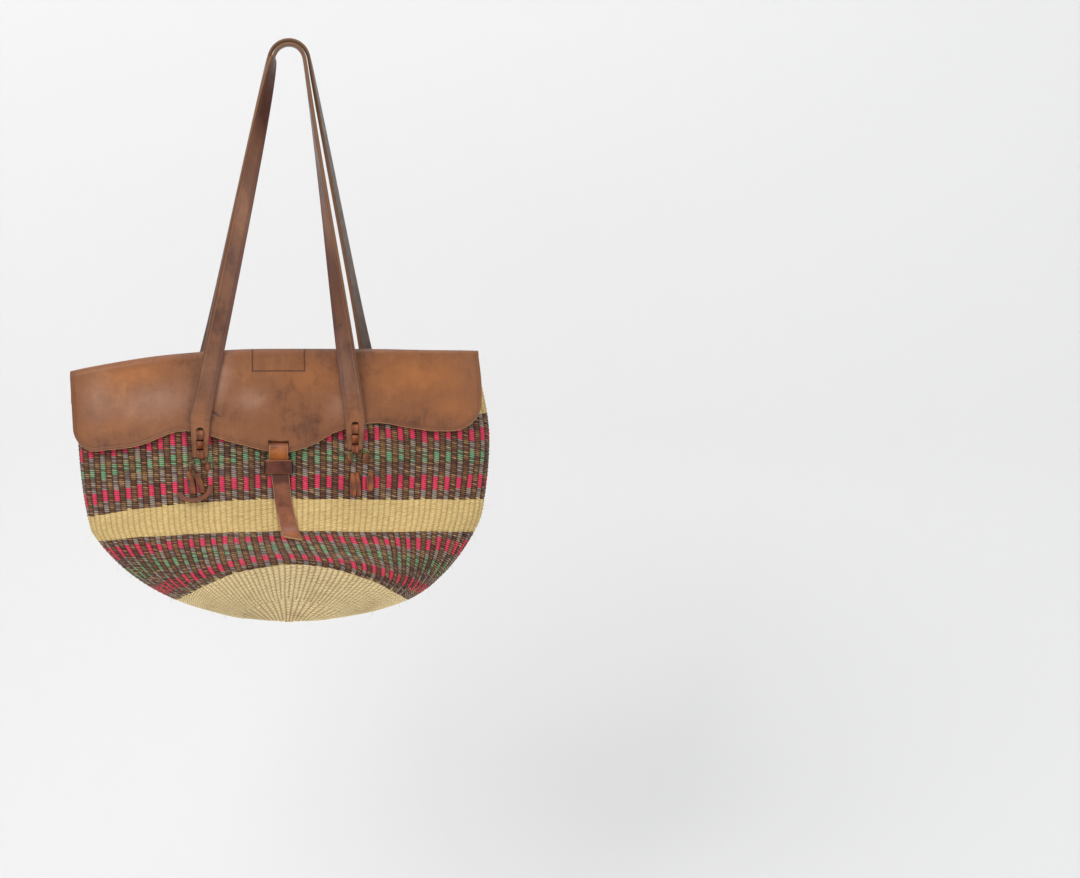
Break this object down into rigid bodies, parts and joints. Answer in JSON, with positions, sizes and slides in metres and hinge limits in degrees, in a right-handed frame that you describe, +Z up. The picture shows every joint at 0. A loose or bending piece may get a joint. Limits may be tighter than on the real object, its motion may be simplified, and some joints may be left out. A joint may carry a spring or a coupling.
{
  "type": "kiondo basket",
  "caption": "Twined sisal tote basket with a leather flap, tongue and keeper, and two leather straps laced to the weave.",
  "frame": {"origin": "the place where the underside of the front strap bears on its hook, at the middle of the strap", "axes": "+Z up as the basket hangs, +X to the right of someone facing the front, -Y towards them"},
  "size_m": [0.4206, 0.1789, 0.5903],
  "materials": {
    "sisal": "matte twined sisal in natural, brown, grey, pink and green",
    "hide": "worn vegetable-tanned leather, satin",
    "strap": "creased strap leather, satin",
    "thong": "cut leather thong, satin"
  },
  "bodies": {
    "basket": {"woven_body": "sisal", "rim_braid": "sisal", "flap_back_leaf": "hide", "tongue_keeper": "strap", "front_left_strap_end": "strap", "front_right_strap_end": "strap", "rear_left_strap_end": "strap", "rear_right_strap_end": "strap", "front_left_lace": "thong", "front_right_lace": "thong", "rear_left_lace": "thong", "rear_right_lace": "thong", "front_left_lace_loop": "thong"},
    "flap_crown": {"flap_crown": "hide"},
    "flap_apron": {"flap_apron": "hide", "closure_tongue": "strap"},
    "front_strap": {"front_strap": "strap"},
    "rear_strap": {"rear_strap": "strap"}
  },
  "joints": [
    {"name": "front_strap_swing", "type": "hinge", "parent": "basket", "child": "front_strap", "pos_m": [0, -0.0388, -0.376], "axis": [1, 0, 0], "range_deg": [0, 150]},
    {"name": "rear_strap_swing", "type": "hinge", "parent": "basket", "child": "rear_strap", "pos_m": [0, 0.0377, -0.376], "axis": [-1, 0, 0], "range_deg": [0, 150]},
    {"name": "flap_lift", "type": "hinge", "parent": "basket", "child": "flap_crown", "pos_m": [0, 0.023, -0.3111], "axis": [-1, 0, 0], "range_deg": [0, 80], "deforming": ["flap_crown", "flap_apron", "closure_tongue"]},
    {"name": "flap_front_fold", "type": "hinge", "parent": "flap_crown", "child": "flap_apron", "pos_m": [0, -0.0246, -0.3111], "axis": [-1, 0, 0], "range_deg": [0, 90]}
  ],
  "couplings": [
    {"joint": "flap_front_fold", "follows": "flap_lift", "ratio": 1.125}
  ]
}
